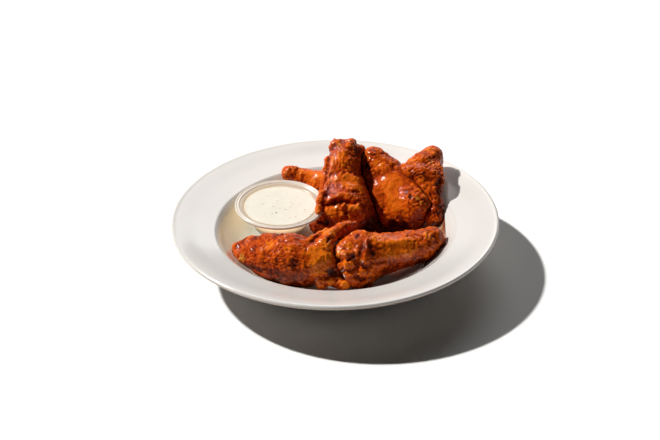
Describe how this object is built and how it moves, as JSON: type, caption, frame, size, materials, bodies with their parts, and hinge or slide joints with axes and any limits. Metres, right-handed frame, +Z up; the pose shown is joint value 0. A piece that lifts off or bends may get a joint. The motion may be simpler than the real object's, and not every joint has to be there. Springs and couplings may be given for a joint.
{
  "type": "chicken wings serving",
  "caption": "Sauced chicken wing pieces heaped in a wide-rimmed white bowl, with a small clear-plastic portion cup of creamy herb dip.",
  "frame": {"origin": "middle of the bowl's foot ring, on the table", "axes": "+Z up; +X to the right and +Y away, seen from the side that shows the cup on the left and the two long pieces in front"},
  "size_m": [0.2698, 0.2698, 0.0807],
  "materials": {
    "stoneware": "gloss",
    "cup_plastic": "satin",
    "creamy_dip": "satin",
    "sauced_chicken": "gloss"
  },
  "bodies": {
    "root": {"bowl": "stoneware", "dip_cup": "cup_plastic", "dip": "creamy_dip", "wing_front_left": "sauced_chicken", "wing_front_right": "sauced_chicken", "wing_middle": "sauced_chicken", "wing_back": "sauced_chicken", "wing_right": "sauced_chicken", "wing_back_left": "sauced_chicken"}
  },
  "joints": []
}
